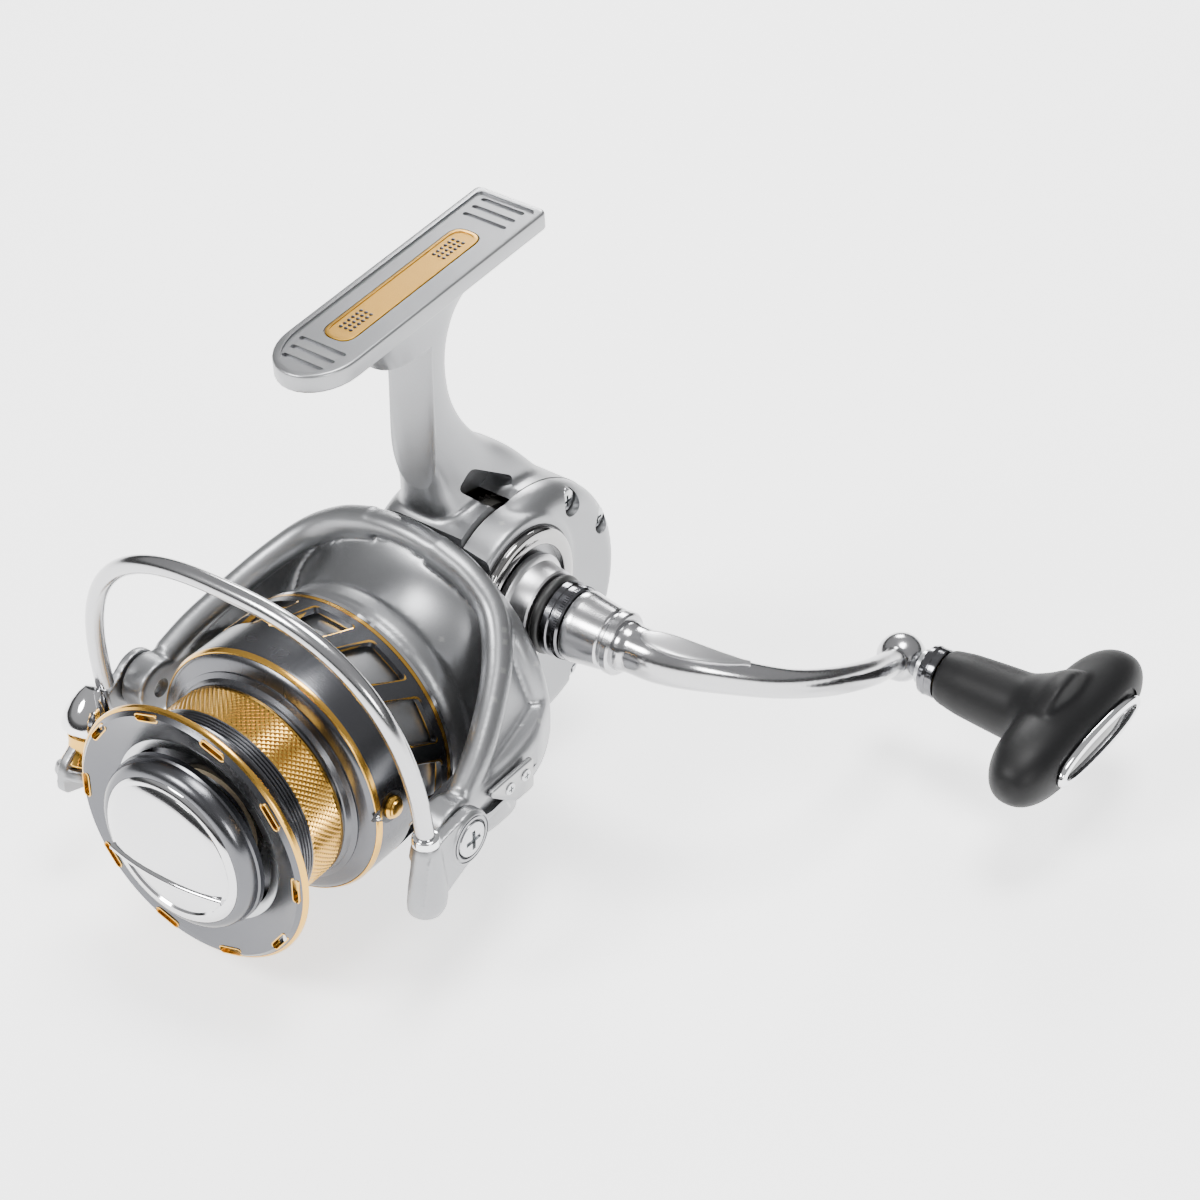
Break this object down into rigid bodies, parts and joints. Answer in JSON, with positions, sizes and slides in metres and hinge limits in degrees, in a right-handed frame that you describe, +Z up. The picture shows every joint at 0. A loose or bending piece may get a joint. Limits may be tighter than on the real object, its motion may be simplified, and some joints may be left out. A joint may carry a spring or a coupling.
{
  "type": "spinning reel",
  "caption": "Spinning reel: rod foot on a stem, gear case, geared rotor with flip-over bail and line roller, drag spool, and cranked handle with T-shaped knob.",
  "frame": {"origin": "centre of the foot's seat face, where the rod's reel seat bears", "axes": "+Y runs back along the spool axis, the spool faces -Y, +X points out along the handle axis, +Z points up out of the foot"},
  "size_m": [0.1331, 0.1385, 0.0993],
  "materials": {
    "satin_silver": "fine metallic satin paint",
    "foot_gold": "matt gold",
    "bright_chrome": "polished",
    "steel": "machined",
    "dark_metal": "dark anodised",
    "brass": "machined",
    "gear_alloy": "die-cast zinc alloy",
    "soft_black": "soft-touch",
    "seal_rubber": "matt",
    "gunmetal": "satin anodised",
    "gold_anodised": "gold anodised",
    "felt": "pressed felt",
    "black_plastic": "gloss black"
  },
  "bodies": {
    "reel_body": {"housing": "satin_silver", "side_cover": "satin_silver", "rear_cover": "satin_silver", "foot_inlay": "foot_gold", "case_screws": "dark_metal", "cover_bezel": "bright_chrome", "left_bearing": "steel", "right_bearing": "steel", "pinion_bearing": "steel", "rear_bushing": "brass", "bearing_plate": "steel", "plate_screws": "dark_metal", "clutch_case": "dark_metal", "clutch_rollers": "steel", "osc_stud": "steel", "guide_rod": "steel", "dust_cap": "dark_metal"},
    "crank": {"drive_gear": "gear_alloy", "drive_shaft": "steel", "spur_gear": "brass", "handle_collar": "bright_chrome", "handle_seal": "seal_rubber", "lock_ring": "dark_metal", "handle_cone": "bright_chrome", "handle_arm": "bright_chrome", "knob_axle": "steel"},
    "knob": {"knob_grip": "soft_black", "knob_ferrule": "steel", "knob_window": "dark_metal", "knob_bushings": "brass"},
    "oscillator": {"oscillation_gear": "brass"},
    "spool_shaft": {"main_shaft": "steel", "slider_block": "gear_alloy", "slider_screw": "dark_metal", "drive_pin": "steel", "click_wheel": "black_plastic", "keyed_washers": "steel"},
    "rotor_group": {"pinion": "brass", "clutch_sleeve": "steel", "rotor": "satin_silver", "rotor_nut": "brass", "nut_lock": "steel", "left_arm_cover": "black_plastic", "right_arm_cover": "satin_silver", "arm_screws": "dark_metal", "bail_spring": "steel", "balance_weight": "steel"},
    "trip_lever": {"kick_lever": "dark_metal"},
    "bail": {"bail_wire": "bright_chrome", "roller_arm": "satin_silver", "wire_holder": "satin_silver", "pivot_screws": "dark_metal", "roller_axle": "bright_chrome"},
    "roller": {"line_roller": "gold_anodised"},
    "spool_group": {"spool": "gunmetal", "arbor_band": "gold_anodised", "felt_washers": "felt", "washer_ring": "steel"},
    "clip": {"line_clip": "gold_anodised"},
    "drag": {"drag_knob": "bright_chrome"}
  },
  "joints": [
    {"name": "crank_turn", "type": "hinge", "parent": "reel_body", "child": "crank", "pos_m": [0, 0.009, -0.0587], "axis": [1, 0, 0], "continuous": true},
    {"name": "rotor_turn", "type": "hinge", "parent": "reel_body", "child": "rotor_group", "pos_m": [0, 0, -0.07], "axis": [0, 1, 0], "continuous": true},
    {"name": "oscillator_turn", "type": "hinge", "parent": "reel_body", "child": "oscillator", "pos_m": [0, 0.02121, -0.0646], "axis": [1, 0, 0], "continuous": true},
    {"name": "spool_stroke", "type": "slide", "parent": "reel_body", "child": "spool_shaft", "axis": [0, 1, 0], "range_m": [-0.006, 0.006]},
    {"name": "spool_turn", "type": "hinge", "parent": "spool_shaft", "child": "spool_group", "pos_m": [0, 0, -0.07], "axis": [0, 1, 0], "continuous": true},
    {"name": "drag_turn", "type": "hinge", "parent": "spool_shaft", "child": "drag", "pos_m": [0, 0, -0.07], "axis": [0, 1, 0], "range_deg": [-360, 360]},
    {"name": "clip_lift", "type": "slide", "parent": "spool_group", "child": "clip", "axis": [0.9976, 0, 0.0698], "range_m": [0, 0.0006], "stiffness_N_per_m": 400},
    {"name": "bail_flip", "type": "hinge", "parent": "rotor_group", "child": "bail", "pos_m": [0, -0.0315, -0.07], "axis": [1, 0, 0], "range_deg": [0, 96]},
    {"name": "trip_turn", "type": "hinge", "parent": "rotor_group", "child": "trip_lever", "pos_m": [0.0253, -0.02, -0.07], "axis": [1, 0, 0], "range_deg": [0, 9.6]},
    {"name": "roller_spin", "type": "hinge", "parent": "bail", "child": "roller", "pos_m": [-0.0332, -0.0456, -0.0774], "axis": [0, 0.4384, 0.8988], "continuous": true},
    {"name": "knob_spin", "type": "hinge", "parent": "crank", "child": "knob", "pos_m": [0.0579, 0.05504, -0.07968], "axis": [1, 0, 0], "continuous": true}
  ],
  "couplings": [
    {"joint": "rotor_turn", "follows": "crank_turn", "ratio": 5.2},
    {"joint": "oscillator_turn", "follows": "crank_turn", "ratio": -0.5},
    {"joint": "trip_turn", "follows": "bail_flip", "ratio": 0.1}
  ]
}
